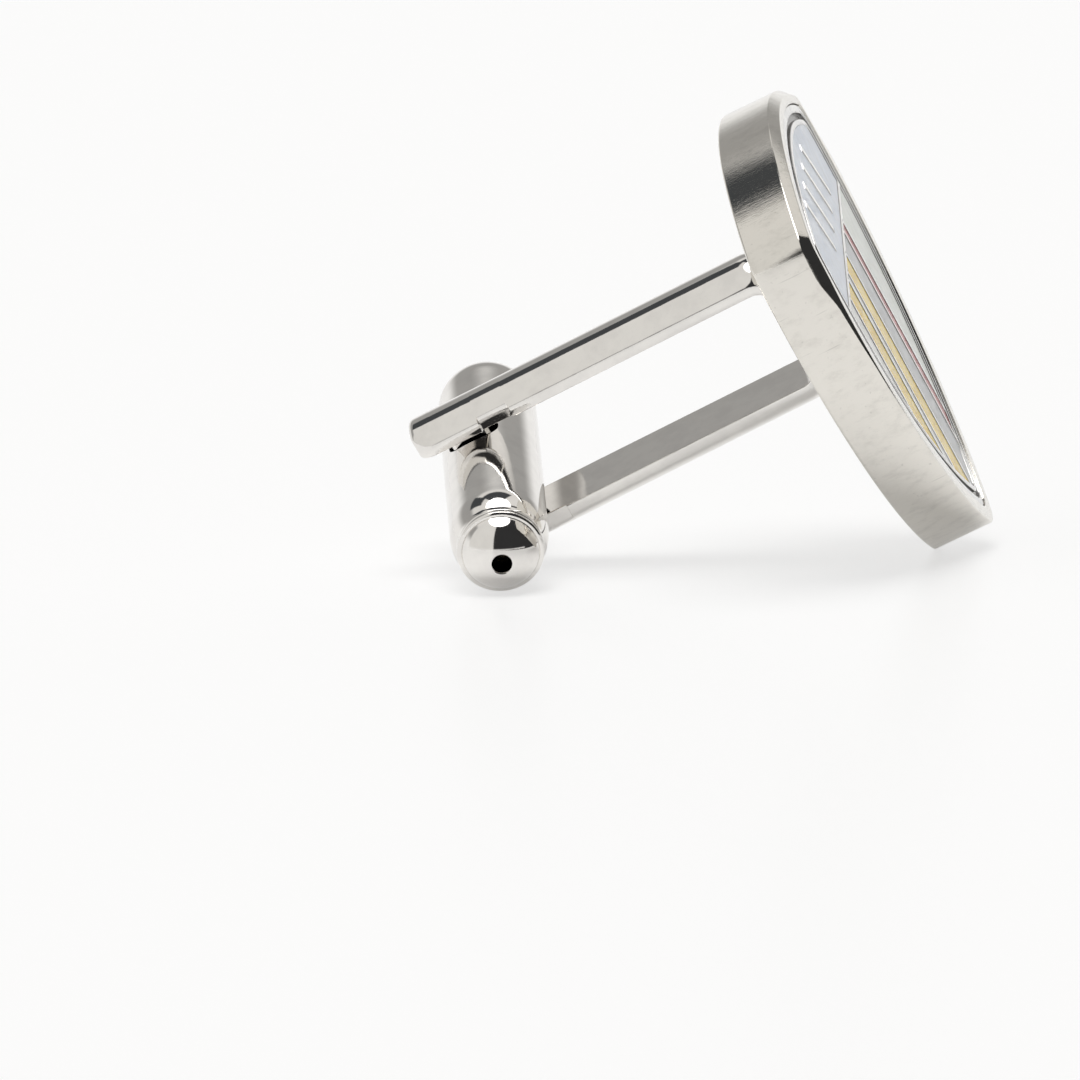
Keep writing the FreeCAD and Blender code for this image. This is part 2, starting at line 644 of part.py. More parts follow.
place_point(plug_profile, stem[1], 1, plug_radius, lip_text)
place_point(plug_profile, stem[2], 1, plug_radius, lip_text + " + Sizes.plug_shank")
place_point(plug_profile, stem[3], 1, "Sizes.vent_radius", lip_text + " + Sizes.plug_shank")
revolve(plug, plug_profile)

# Detent plunger: a slug that the spring holds against the studs' flats
plunger = new_body("detent_plunger")
plunger_profile = new_sketch(plunger, "XY_Plane", "plunger_profile")
nose = "-(Sizes.stud_radius + Sizes.nose_clearance)"
slug = "Sizes.bore_radius - Sizes.slide_clearance"
back = nose + " - Sizes.plunger_length"
spigot_end = back + " - Sizes.spigot_length"
middle = "0 * Sizes.bore_radius"
polygon(plunger_profile, [(middle, nose), (middle, spigot_end), ("Sizes.spigot_radius", spigot_end),
                          ("Sizes.spigot_radius", back), (slug, back), (slug, nose)])
revolve(plunger, plunger_profile)

# Detent spring of square wire between the plunger's shoulder and the plug
spring = new_body("detent_spring")
wire = new_sketch(spring, "XY_Plane", "wire_section")
coil_start = lip_text + " + Sizes.plug_shank"
wire_inside = "Sizes.coil_radius - Sizes.wire_side / 2"
wire_outside = "Sizes.coil_radius + Sizes.wire_side / 2"
wire_top = coil_start + " + Sizes.wire_side"
polygon(wire, [(wire_inside, coil_start), (wire_outside, coil_start),
               (wire_outside, wire_top), (wire_inside, wire_top)])
coil = spring.newObject("PartDesign::AdditiveHelix", "coil")
coil.Profile = wire
coil.ReferenceAxis = (wire, ["V_Axis"])
coil.Mode = "height-turns-angle"
coil.setExpression("Height", "(%s) - (%s)" % (back, wire_top))
coil.setExpression("Turns", "Sizes.coil_turns")
doc.recompute()

# The head sits a little turned and tilted on the shank
seat_point = Vector(size["reach"], 0, 0)
seat_tilt = FreeCAD.Rotation(Y_AXIS, size["head_tilt"])
seat_turn = seat_tilt.multiply(FreeCAD.Rotation(X_AXIS, size["head_turn"]))
seating = FreeCAD.Placement(seat_point - seat_turn.multVec(seat_point), seat_turn)
for node in [case, badge] + enamels:
    node.Placement = seating.multiply(node.Placement)
doc.recompute()


# Lying pose: the barrel's near end, the lower arm and the shield's point all touch the table
def turned(lean, roll):
    return FreeCAD.Rotation(X_AXIS, roll).multiply(FreeCAD.Rotation(Y_AXIS, -lean))


def lowest(node, turn):
    shape = node.Shape.copy()
    shape.Placement = FreeCAD.Placement(Vector(0, 0, 0), turn).multiply(shape.Placement)
    return shape.optimalBoundingBox(False, False).ZMin


def height_gaps(lean, roll):
    """Heights of the barrel and of the fork above the shield's point."""
    barrel_low, fork_low, case_low = [lowest(node, turned(lean, roll)) for node in (barrel, fork, case)]
    return barrel_low - case_low, fork_low - case_low


lean = 27.0
roll = 14.0
NUDGE = 0.01
POSE_STEPS = 6
for step in range(POSE_STEPS):
    first, second = height_gaps(lean, roll)
    lean_first, lean_second = height_gaps(lean + NUDGE, roll)
    roll_first, roll_second = height_gaps(lean, roll + NUDGE)
    by_lean = ((lean_first - first) / NUDGE, (lean_second - second) / NUDGE)
    by_roll = ((roll_first - first) / NUDGE, (roll_second - second) / NUDGE)
    scale = by_lean[0] * by_roll[1] - by_roll[0] * by_lean[1]
    lean -= (first * by_roll[1] - second * by_roll[0]) / scale
    roll -= (second * by_lean[0] - first * by_lean[1]) / scale
leaning = FreeCAD.Placement(Vector(0, 0, 0), turned(lean, roll))

nodes = [case, badge] + enamels + [fork, solder, upper_stud, lower_stud, barrel, plug, plunger, spring]
for node in nodes:
    if node.Shape.isNull() or not node.Shape.isValid():
        raise RuntimeError("bad shape: " + node.Label)
whole = Part.makeCompound([node.Shape for node in nodes])
whole.Placement = leaning
box = whole.optimalBoundingBox(False, False)
shift = Vector(-box.Center.x, -box.Center.y, -box.ZMin)
resting = FreeCAD.Placement(shift, leaning.Rotation)
for node in nodes:
    node.Placement = resting.multiply(node.Placement)
doc.recompute()

for item in doc.Objects:
    if "Invalid" in item.State or "Error" in item.State:
        raise RuntimeError("not built: " + item.Label)

os.makedirs("parts", exist_ok=True)
for node in nodes:
    shape = node.Shape
    if shape.isNull() or not shape.isValid():
        raise RuntimeError("bad shape: " + node.Label)
    shape.exportStep("parts/%s.step" % node.Label)
    print("%-20s solids %d volume %.4f" % (node.Label, len(shape.Solids), shape.Volume))
pivot = resting.multVec(Vector(0, 0, 0))
print("lean %.4f roll %.4f pivot %.5f %.5f %.5f" % (lean, roll, pivot.x, pivot.y, pivot.z))
print("box", box.XLength, box.YLength, box.ZLength)
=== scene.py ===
import json
import math
import bmesh
import bpy
from mathutils import Matrix, Vector


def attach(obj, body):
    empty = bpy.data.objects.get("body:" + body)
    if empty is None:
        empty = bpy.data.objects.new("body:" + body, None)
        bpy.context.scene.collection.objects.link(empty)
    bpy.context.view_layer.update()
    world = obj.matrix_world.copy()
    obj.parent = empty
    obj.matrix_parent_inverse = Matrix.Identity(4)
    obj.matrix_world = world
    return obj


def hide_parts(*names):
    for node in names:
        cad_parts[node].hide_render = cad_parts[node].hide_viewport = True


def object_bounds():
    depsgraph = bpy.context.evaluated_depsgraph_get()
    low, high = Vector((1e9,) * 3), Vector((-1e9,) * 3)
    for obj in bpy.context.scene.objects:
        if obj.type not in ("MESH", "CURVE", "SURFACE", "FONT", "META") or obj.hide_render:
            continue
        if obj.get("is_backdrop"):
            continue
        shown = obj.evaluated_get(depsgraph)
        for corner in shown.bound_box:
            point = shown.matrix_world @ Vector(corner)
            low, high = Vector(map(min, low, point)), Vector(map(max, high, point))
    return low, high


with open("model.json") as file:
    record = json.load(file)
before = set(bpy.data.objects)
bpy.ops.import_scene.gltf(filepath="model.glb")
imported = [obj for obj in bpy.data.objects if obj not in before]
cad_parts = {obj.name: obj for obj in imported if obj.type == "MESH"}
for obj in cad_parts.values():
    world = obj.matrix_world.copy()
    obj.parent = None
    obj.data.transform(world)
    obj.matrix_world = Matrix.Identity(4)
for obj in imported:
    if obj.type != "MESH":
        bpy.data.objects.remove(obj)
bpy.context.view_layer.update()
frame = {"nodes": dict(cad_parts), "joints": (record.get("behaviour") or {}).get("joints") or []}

nodes = frame["nodes"]
joints = {joint["name"]: joint for joint in frame["joints"]}

# Local axes in millimetres: origin on the pivot, X out to the head, Y along the toggle, Z up the shield
MM = 0.001
pivot = Vector(joints["toggle_swivel"]["pos_m"])
axis_z = Vector(joints["toggle_swivel"]["axis"]).normalized()
axis_y = Vector(joints["plunger_slide"]["axis"]).normalized()
axis_x = axis_y.cross(axis_z).normalized()
axis_y = axis_z.cross(axis_x).normalized()
turn = Matrix((axis_x, axis_y, axis_z)).transposed()
to_row = Matrix.Translation(pivot) @ turn.to_4x4() @ Matrix.Scale(MM, 4)

# Sizes in millimetres, as in the solids; only the barrel's shoulder is drawn in over a shorter length
HALF_W, SIDE_R, SIDE_UP = 8.8, 17.4, 3.0
SIDE_OFF = SIDE_R - HALF_W
TOP_R, TOP_RISE, TIP_R = 16.6, 8.28, 2.1
CORNER, INNER_CORNER = 1.2, 0.8
REACH, DEPTH, BEVEL, BACK_ROUND = 14.71, 2.7, 0.36, 0.12
RIM, RECESS = 0.75, 1.3
FRONT = REACH + DEPTH
BADGE_DEPTH, BADGE_INSET = 1.25, 0.78
BADGE_FRONT = FRONT - RECESS + BADGE_DEPTH
BORDER_INSET, GROOVE_INSET, FIELD_INSET = 1.15, 1.45, 1.70
GROOVE_DEPTH, FIELD_DEPTH = 0.2, 0.36
RIB_W, CHIEF, RIB_SHARES = 0.28, 1.9, (-0.63, -0.4, -0.3, -0.07, 0.22, 0.34)
BATON_W, BATON_PITCH, BATON_MARGIN, BATON_LEAN = 0.45, 2.1, 0.8, math.radians(24)
BATON_STEPS = (-1.5, -0.5, 0.5, 1.5)
STRIP_W, STRIP_EDGE, STRIP_CROWN, GAP = 2.88, 0.46, 0.72, 4.65
TIP_REACH, TIP_ROUND, BEND, SOLDER, BRIDGE_FLAT = 2.2, 0.8, 0.7, 0.1, 0.45
HEAD_TURN, HEAD_TILT = math.radians(-3.0), math.radians(1.16)
NOTCH_DEPTH, NOTCH_SLOPE, FAR_NOTCH, NEAR_NOTCH = 0.16, 0.05, (-1.2, 0.25), (0.7, 2.15)
BARREL_R, FAR_LEN, NECK = 2.04, 7.85, 0.55
SHOULDER_END, SHOULDER_DROP, SHOULDER_R = 7.45, 0.25, 3.0
NECK_GROOVE, LIP_CHAMFER = 0.06, 0.08
BORE_R, BORE_END, EYE_R = 1.5, 5.5, 1.15
DOME_RISE, FLANGE, VENT_R, PLUG_SHANK, PLUG_FIT = 1.2, 0.12, 0.4, 0.9, 0.01

# Small roundings in millimetres, which the solids don't have
CASE_EDGE, PLATE_EDGE, RIB_EDGE, STRIP_EDGE_R, NECK_EDGE, VENT_EDGE = 0.035, 0.05, 0.06, 0.06, 0.02, 0.06
END_CROWN, END_FLAT = 0.3, 0.1

# How finely the shapes are cut
SIDE_STEPS, CORNER_STEPS, TOP_STEPS, TIP_STEPS = 60, 10, 40, 24
EDGE_STEPS, NECK_STEPS, BACK_STEPS = 4, 3, 5
CROWN_STEPS, END_STEPS, BEND_STEPS = 40, 14, 12
SEGMENTS, PLUG_SEGMENTS, EYE_SEGMENTS = 192, 128, 64
SHOULDER_STEPS, DOME_STEPS, FAR_DOME_STEP = 16, 40, 3
ON_AXIS, MERGE = 1e-6, 1e-7
SHARP, NORMAL_WEIGHT = math.radians(30), 80

# The head sits a little turned and tilted on the shank
seat_turn = Matrix.Rotation(HEAD_TILT, 4, "Y") @ Matrix.Rotation(HEAD_TURN, 4, "X")
head_to_row = to_row @ Matrix.Translation((REACH, 0, 0)) @ seat_turn @ Matrix.Translation((-REACH, 0, 0))


# Mesh helpers
def add_piece(name, verts, faces, body, material, replaced=None, place=to_row):
    mesh = bpy.data.meshes.new(name)
    mesh.from_pydata([place @ Vector(v) for v in verts], [], faces)
    work = bmesh.new()
    work.from_mesh(mesh)
    bmesh.ops.remove_doubles(work, verts=work.verts, dist=MERGE)
    bmesh.ops.recalc_face_normals(work, faces=work.faces)
    work.to_mesh(mesh)
    work.free()
    mesh.shade_smooth()
    mesh.set_sharp_from_angle(angle=SHARP)
    piece = bpy.data.objects.new(name, mesh)
    bpy.context.scene.collection.objects.link(piece)
    mesh.materials.append(material)
    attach(piece, body)
    if replaced:
        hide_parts(replaced)
    weight = piece.modifiers.new("even_normals", "WEIGHTED_NORMAL")
    weight.keep_sharp = True
    weight.weight = NORMAL_WEIGHT
    return piece


def ring_faces(count, ring, closed=True):
    """Quads between successive rings of equal length."""
    faces = []
    for level in range(count - 1):
        for k in range(ring if closed else ring - 1):
            after = (k + 1) % ring
            low, high = level * ring, (level + 1) * ring
            faces.append((low + k, low + after, high + after, high + k))
    return faces


def revolve(profile, segments):
    """Turned solid about local Y from (radius, y) points; ends on the axis are closed."""
    verts, faces, starts = [], [], []
    for radius, y in profile:
        starts.append(len(verts))
        if radius < ON_AXIS:
            verts.append((0, y, 0))
            continue
        for k in range(segments):
            a = 2 * math.pi * k / segments
            verts.append((radius * math.cos(a), y, radius * math.sin(a)))
    for i in range(len(profile) - 1):
        low, high = starts[i], starts[i + 1]
        for k in range(segments):
            n = (k + 1) % segments
            if profile[i][0] < ON_AXIS:
                faces.append((low, high + k, high + n))
            elif profile[i + 1][0] < ON_AXIS:
                faces.append((low + k, low + n, high))
            else:
                faces.append((low + k, low + n, high + n, high + k))
    return verts, faces


def arc(cx, cy, radius, first, last, steps):
    """Points on an arc between two angles in degrees."""
    points = []
    for k in range(steps + 1):
        a = math.radians(first + (last - first) * k / steps)
        points.append((cx + radius * math.cos(a), cy + radius * math.sin(a)))
    return points


def shield(inset, corner):
    """Outline points (y, z), the same count for every inset."""
    side, top, tip = SIDE_R - inset, TOP_R - inset, TIP_R - inset
    top_z = TOP_RISE - TOP_R
    tip_z = SIDE_UP - math.sqrt((side - tip) ** 2 - SIDE_OFF ** 2)
    span_x, span_y = -SIDE_OFF, SIDE_UP - top_z
    span = math.hypot(span_x, span_y)
    along = ((top - corner) ** 2 - (side - corner) ** 2 + span ** 2) / (2 * span)
    off = math.sqrt((top - corner) ** 2 - along ** 2)
    cx = (along * span_x + off * span_y) / span
    cy = top_z + (along * span_y - off * span_x) / span
    top_a = math.degrees(math.atan2(cy - top_z, cx))
    side_a = math.degrees(math.atan2(cy - SIDE_UP, cx + SIDE_OFF))
    tip_a = math.degrees(math.atan2(tip_z - SIDE_UP, SIDE_OFF))
    points = arc(-SIDE_OFF, SIDE_UP, side, tip_a, side_a, SIDE_STEPS)[:-1]
    points += arc(cx, cy, corner, side_a, top_a, CORNER_STEPS)[:-1]
    points += arc(0, top_z, top, top_a, 180 - top_a, TOP_STEPS)[:-1]
    points += arc(-cx, cy, corner, 180 - top_a, 180 - side_a, CORNER_STEPS)[:-1]
    points += arc(SIDE_OFF, SIDE_UP, side, 180 - side_a, 180 - tip_a, SIDE_STEPS)[:-1]
    points += arc(0, tip_z, tip, 180 - tip_a, 360 + tip_a, TIP_STEPS)[:-1]
    return points


def shield_solid(rings, fade=None):
    """Solid from (inset, x, corner) rings, capped at both ends; fade scales the bevel by height."""
    outside = shield(0, CORNER)
    verts = []
    for inset, x, corner in rings:
        faded = fade and x > FRONT - 2 * BEVEL and inset < (BEVEL + RIM) / 2
        for (y, z), (y_out, z_out) in zip(shield(inset, corner), outside):
            share = fade(z_out) if faded else 1
            place_yz = (y_out + share * (y - y_out), z_out + share * (z - z_out))
            verts.append((FRONT - share * (FRONT - x), *place_yz))
    ring = len(verts) // len(rings)
    faces = ring_faces(len(rings), ring)
    faces.append(tuple(range(ring)))
    faces.append(tuple(range(len(verts) - ring, len(verts))))
    return verts, faces


def rounded(corners, radius, steps=EDGE_STEPS):
    """Open profile with its inner corners rounded; no rounding takes up more than its share of a side."""
    side_share = 0.45
    points = [corners[0]]
    for before, here, after in zip(corners[:-2], corners[1:-1], corners[2:]):
        a = Vector(before) - Vector(here)
        b = Vector(after) - Vector(here)
        reach = min(radius, a.length * side_share, b.length * side_share)
        start = Vector(here) + a.normalized() * reach
        end = Vector(here) + b.normalized() * reach
        for k in range(steps + 1):
            t = k / steps
            p = (1 - t) ** 2 * start + 2 * t * (1 - t) * Vector(here) + t * t * end
            points.append(tuple(p))
    points.append(corners[-1])
    return points


# Material helpers
def new_material(name):
    """Node material with its texture space in the local axes, in millimetres."""
    material = bpy.data.materials.new(name)
    material.use_nodes = True
    tree = material.node_tree
    shader = tree.nodes["Principled BSDF"]
    coords = tree.nodes.new("ShaderNodeTexCoord")
    mapping = tree.nodes.new("ShaderNodeMapping")
    back = to_row.inverted()
    mapping.inputs["Location"].default_value = back.to_translation()
    mapping.inputs["Rotation"].default_value = back.to_3x3().normalized().to_euler()
    mapping.inputs["Scale"].default_value = (1 / MM, 1 / MM, 1 / MM)
    tree.links.new(coords.outputs["Object"], mapping.inputs["Vector"])
    return material, tree, shader, mapping.outputs["Vector"]


def node(tree, kind, **values):
    """New node with its settings."""
    made = tree.nodes.new(kind)
    for key, value in values.items():
        setattr(made, key, value)
    return made


def noise(tree, vector, scale, detail=4.0, stretch=(1, 1, 1), roughness=0.55):
    """Fractal noise, finer along the axes that are stretched more."""
    mapping = node(tree, "ShaderNodeMapping")
    mapping.inputs["Scale"].default_value = stretch
    tree.links.new(vector, mapping.inputs["Vector"])
    made = node(tree, "ShaderNodeTexNoise")
    made.inputs["Scale"].default_value = scale
    made.inputs["Detail"].default_value = detail
    made.inputs["Roughness"].default_value = roughness
    tree.links.new(mapping.outputs["Vector"], made.inputs["Vector"])
    return made.outputs["Fac"]


def ramp(tree, value, source, target):
    """Smooth step from a source range to a target range."""
    made = node(tree, "ShaderNodeMapRange", interpolation_type="SMOOTHSTEP")
    made.inputs["From Min"].default_value, made.inputs["From Max"].default_value = source
    made.inputs["To Min"].default_value, made.inputs["To Max"].default_value = target
    tree.links.new(value, made.inputs["Value"])
    return made.outputs["Result"]


def math_node(tree, operation, first, second=None):
    """Arithmetic on sockets or plain numbers."""
    made = node(tree, "ShaderNodeMath", operation=operation)
    for socket, value in zip(made.inputs, (first, second)):
        if value is None:
            continue
        if isinstance(value, (int, float)):
            socket.default_value = value
        else:
            tree.links.new(value, socket)
    return made.outputs[0]


def mix_colour(tree, factor, first, second):
    """Blend of two colours, each a socket or a plain colour; a mix node's colour sockets go by number."""
    share_in, first_in, second_in, colour_out = 0, 6, 7, 2
    made = node(tree, "ShaderNodeMix", data_type="RGBA")
    tree.links.new(factor, made.inputs[share_in])
    for socket, value in ((made.inputs[first_in], first), (made.inputs[second_in], second)):
        if isinstance(value, tuple):
            socket.default_value = (*value, 1)
        else:
            tree.links.new(value, socket)
    return made.outputs[colour_out]


def darker(colour, share):
    """Share of a colour's brightness."""
    return tuple(part * share for part in colour)


def bump(tree, height, strength, distance, chained=None):
    """Fine relief on top of the geometry's own normals."""
    made = node(tree, "ShaderNodeBump")
    made.inputs["Strength"].default_value = strength
    made.inputs["Distance"].default_value = distance
    tree.links.new(height, made.inputs["Height"])
    if chained:
        tree.links.new(chained, made.inputs["Normal"])
    return made.outputs["Normal"]


def polished_metal(name, light, dark, rough, wave):
    """Plated metal: slow waviness, fine hairlines, faint cloudy tarnish."""
    material, tree, shader, local = new_material(name)
    shader.inputs["Metallic"].default_value = 1.0
    cloud = noise(tree, local, scale=0.9, detail=3.0)
    tint = mix_colour(tree, ramp(tree, cloud, (0.35, 0.7), (0, 1)), light, dark)
    tree.links.new(tint, shader.inputs["Base Color"])
    hair = noise(tree, local, scale=9.0, detail=6.0, stretch=(0.35, 2.5, 2.5), roughness=0.7)
    smear = noise(tree, local, scale=2.2, detail=4.0)
    level = math_node(tree, "ADD", ramp(tree, hair, (0.3, 0.75), (rough * 0.7, rough * 1.5)),
                      ramp(tree, smear, (0.5, 0.8), (0.0, rough * 0.6)))
    tree.links.new(level, shader.inputs["Roughness"])
    slow = noise(tree, local, scale=0.55, detail=1.0)
    wavy = bump(tree, slow, strength=wave, distance=0.0001)
    fine = bump(tree, hair, strength=0.05, distance=0.00001, chained=wavy)
    tree.links.new(fine, shader.inputs["Normal"])
    return material


def satin_metal(name, light, dark, rough):
    """Brushed metal: strokes across the band, mottled plating, small pits, a few scratches."""
    material, tree, shader, local = new_material(name)
    shader.inputs["Metallic"].default_value = 1.0
    mottle = noise(tree, local, scale=1.7, detail=6.0, stretch=(0.6, 1, 1), roughness=0.65)
    stroke = noise(tree, local, scale=7.0, detail=5.0, stretch=(0.16, 1.6, 1.6), roughness=0.7)
    pits = noise(tree, local, scale=5.5, detail=3.0)
    scratch = noise(tree, local, scale=2.6, detail=2.0, stretch=(0.12, 2.2, 2.2), roughness=0.6)
    tint = mix_colour(tree, ramp(tree, mottle, (0.45, 0.75), (0, 1)), light, dark)
    spots = mix_colour(tree, ramp(tree, pits, (0.66, 0.74), (0, 0.3)), tint, darker(dark, 0.6))
    lines = mix_colour(tree, ramp(tree, scratch, (0.7, 0.75), (0, 0.3)), spots, darker(dark, 0.45))
    tree.links.new(lines, shader.inputs["Base Color"])
    level = math_node(tree, "ADD", ramp(tree, stroke, (0.3, 0.7), (rough * 0.5, rough * 1.8)),
                      ramp(tree, mottle, (0.4, 0.7), (0.0, rough * 0.3)))
    tree.links.new(level, shader.inputs["Roughness"])
    first = bump(tree, stroke, strength=0.16, distance=0.00003)
    second = bump(tree, mottle, strength=0.05, distance=0.00006, chained=first)
    tree.links.new(second, shader.inputs["Normal"])
    return material


def enamel(name, colour, deep):
    """Soft enamel: glossy fill with slight pooling and specks."""
    material, tree, shader, local = new_material(name)
    pool = noise(tree, local, scale=1.4, detail=4.0)
    speck = noise(tree, local, scale=14.0, detail=2.0)
    body = mix_colour(tree, ramp(tree, pool, (0.35, 0.7), (0, 1)), colour, deep)
    tint = mix_colour(tree, ramp(tree, speck, (0.68, 0.75), (0, 0.35)), body, darker(deep, 0.6))
    tree.links.new(tint, shader.inputs["Base Color"])
    tree.links.new(ramp(tree, pool, (0.3, 0.8), (0.12, 0.28)), shader.inputs["Roughness"])
    shader.inputs["Specular IOR Level"].default_value = 0.25
    shader.inputs["Coat Weight"].default_value = 0.08
    shader.inputs["Coat Roughness"].default_value = 0.08
    tree.links.new(bump(tree, pool, strength=0.25, distance=0.00008), shader.inputs["Normal"])
    return material


POLISHED = polished_metal("plate_polished", (0.83, 0.81, 0.78), (0.77, 0.75, 0.725), rough=0.05, wave=0.08)
STRUCK = polished_metal("plate_struck", (0.80, 0.79, 0.775), (0.66, 0.655, 0.65), rough=0.14, wave=0.3)
SATIN = satin_metal("plate_satin", (0.78, 0.755, 0.705), (0.69, 0.666, 0.62), rough=0.06)
GROOVE = polished_metal("plate_groove", (0.42, 0.415, 0.41), (0.33, 0.325, 0.32), rough=0.3, wave=0.2)
SOLDER_DULL = satin_metal("solder_dull", (0.62, 0.61, 0.59), (0.48, 0.47, 0.46), rough=0.38)
BRASS = polished_metal("turned_brass", (0.78, 0.62, 0.33), (0.68, 0.53, 0.28), rough=0.22, wave=0.2)
STEEL_WIRE = polished_metal("drawn_wire", (0.56, 0.56, 0.57), (0.46, 0.46, 0.47), rough=0.25, wave=0.2)
ENAMELS = {
    "enamel_chief": enamel("enamel_blue_white", (0.69, 0.745, 0.84), (0.61, 0.675, 0.785)),
    "enamel_pale_near": enamel("enamel_pale_near", (0.80, 0.80, 0.77), (0.72, 0.72, 0.69)),
    "enamel_yellow_near": enamel("enamel_yellow_near", (0.92, 0.67, 0.07), (0.82, 0.55, 0.04)),
    "enamel_white": enamel("enamel_white", (0.86, 0.86, 0.85), (0.78, 0.78, 0.77)),
    "enamel_yellow_far": enamel("enamel_yellow_far", (0.92, 0.67, 0.07), (0.82, 0.55, 0.04)),
    "enamel_grey": enamel("enamel_grey", (0.45, 0.46, 0.47), (0.37, 0.38, 0.39)),
    "enamel_red": enamel("enamel_red", (0.52, 0.05, 0.05), (0.42, 0.03, 0.035)),
    "enamel_pale_far": enamel("enamel_pale_far", (0.76, 0.79, 0.74), (0.68, 0.71, 0.66)),
}


# Case: its bevel is full round the top and fades down the sides; height on the outline and share of the bevel
BEVEL_SHARES = ((-1.0, 0.12), (0.0, 0.17), (2.9, 0.5), (4.2, 1.2), (5.2, 1.2), (6.2, 1.0))


def bevel_share(z):
    """Share of the full bevel at a height on the outline."""
    for (low, first), (high, second) in zip(BEVEL_SHARES[:-1], BEVEL_SHARES[1:]):
        if z < high:
            return first + (second - first) * max(z - low, 0) / (high - low)
    return BEVEL_SHARES[-1][1]


case_rings = []
for k in range(BACK_STEPS + 1):
    a = math.pi / 2 * k / BACK_STEPS
    inset = BACK_ROUND * (1 - math.sin(a))
    case_rings.append((inset, REACH + BACK_ROUND * (1 - math.cos(a)), CORNER - inset))
section = rounded([(0, REACH + BACK_ROUND), (0, FRONT - BEVEL), (BEVEL, FRONT), (RIM, FRONT),
                   (RIM, FRONT - RECESS)], CASE_EDGE)
for inset, x in section[1:]:
    case_rings.append((inset, x, max(CORNER - inset, INNER_CORNER)))
case_verts, case_faces = shield_solid(case_rings, bevel_share)
add_piece("case_shell", case_verts, case_faces, "head", SATIN, "head_case", head_to_row)

# Badge plate with its border ridges
GROOVE_FLOOR, FIELD = BADGE_FRONT - GROOVE_DEPTH, BADGE_FRONT - FIELD_DEPTH
plate = rounded([(BADGE_INSET, FRONT - RECESS), (BADGE_INSET, BADGE_FRONT), (BORDER_INSET, BADGE_FRONT),
                 (BORDER_INSET, GROOVE_FLOOR), (GROOVE_INSET, GROOVE_FLOOR), (GROOVE_INSET, BADGE_FRONT),
                 (FIELD_INSET, BADGE_FRONT), (FIELD_INSET, FIELD)], PLATE_EDGE)
badge_verts, badge_faces = shield_solid([(inset, x, INNER_CORNER) for inset, x in plate])
badge = add_piece("badge_struck", badge_verts, badge_faces, "head", STRUCK, "badge_plate",
                  head_to_row)

# The groove in the border is darker than its ridges
GROOVE_MARGIN, GROOVE_TOP = 0.05, 0.03
badge.data.materials.append(GROOVE)
ring = len(badge_verts) // len(plate)
for face in badge.data.polygons:
    level = face.index // ring
    if level + 1 < len(plate):
        inset, x = (Vector(plate[level]) + Vector(plate[level + 1])) / 2
        in_groove = BORDER_INSET - GROOVE_MARGIN < inset < GROOVE_INSET + GROOVE_MARGIN
        if in_groove and x < BADGE_FRONT - GROOVE_TOP:
            face.material_index = 1

# Ribs and batons stand up between the enamel cells
RIB_END_INSET, RIB_SUNK = 1.66, 0.02
field_line = shield(RIB_END_INSET, INNER_CORNER)


def field_span(level, across):
    """Where the field's outline crosses a line y = level (across False) or z = level."""
    hits = []
    for first, second in zip(field_line, field_line[1:] + field_line[:1]):
        i, j = (1, 0) if across else (0, 1)
        if (first[i] - level) * (second[i] - level) <= 0 and first[i] != second[i]:
            t = (level - first[i]) / (second[i] - first[i])
            hits.append(first[j] + t * (second[j] - first[j]))
    return min(hits), max(hits)


def rib(name, start, end, width):
    """Rounded raised bar on the field between two (y, z) points."""
    run = Vector(end) - Vector(start)
    side = Vector((-run.y, run.x)).normalized()
    half = width / 2
    foot, top = -RIB_SUNK, FIELD_DEPTH
    shape = rounded([(-half, foot), (-half, top), (half, top), (half, foot)], RIB_EDGE)
    verts = []
    for point in (start, end):
        for off, rise in shape:
            y, z = Vector(point) + side * off
            verts.append((FIELD + rise, y, z))
    count = len(shape)
    faces = ring_faces(2, count, False)
    faces.append((0, count, 2 * count - 1, count - 1))
    faces.append(tuple(range(count)))
    faces.append(tuple(range(count, 2 * count)))
    add_piece(name, verts, faces, "head", STRUCK, place=head_to_row)


low, high = field_span(CHIEF, True)
rib("rib_chief", (low, CHIEF), (high, CHIEF), RIB_W)
for number, share in enumerate(RIB_SHARES, start=1):
    y = HALF_W * share
    rib("rib_bar_%d" % number, (y, field_span(y, False)[0]), (y, CHIEF), RIB_W)
chief_low, chief_high = CHIEF + RIB_W / 2, TOP_RISE - FIELD_INSET
baton_high = chief_high - chief_low - 2 * BATON_MARGIN - BATON_W * math.sin(BATON_LEAN)
baton_long = baton_high / math.cos(BATON_LEAN)
for number, step in enumerate(BATON_STEPS, start=1):
    centre = Vector((BATON_PITCH * step, (chief_low + chief_high) / 2))
    half = Vector((-math.sin(BATON_LEAN), math.cos(BATON_LEAN))) * baton_long / 2
    rib("baton_%d" % number, tuple(centre - half), tuple(centre + half), BATON_W)


# Forked shank: half-round strip along a U, tips rounded across their width
def strip_section(left, right):
    """Half-round section (y, height) between two edges at -left and right of the strip's middle."""
    width_share, ease_in, ease_down = 0.2, 0.3, 0.25
    r = min(STRIP_EDGE_R, (left + right) * width_share)
    points = []
    for a in (0, 30, 60, 90):
        points.append((right - r + r * math.sin(math.radians(a)), r - r * math.cos(math.radians(a))))
    rim = crown_height(right)
    points.append((right, rim - r))
    points.append((right - ease_in * r, rim - ease_down * r))
    for k in range(CROWN_STEPS + 1):
        y = (right - r) + (-(left - r) - (right - r)) * k / CROWN_STEPS
        points.append((y, crown_height(y)))
    rim = crown_height(left)
    points.append((-left + ease_in * r, rim - ease_down * r))
    points.append((-left, rim - r))
    for a in (90, 60, 30, 0):
        points.append((-left + r - r * math.sin(math.radians(a)), r - r * math.cos(math.radians(a))))
    return points


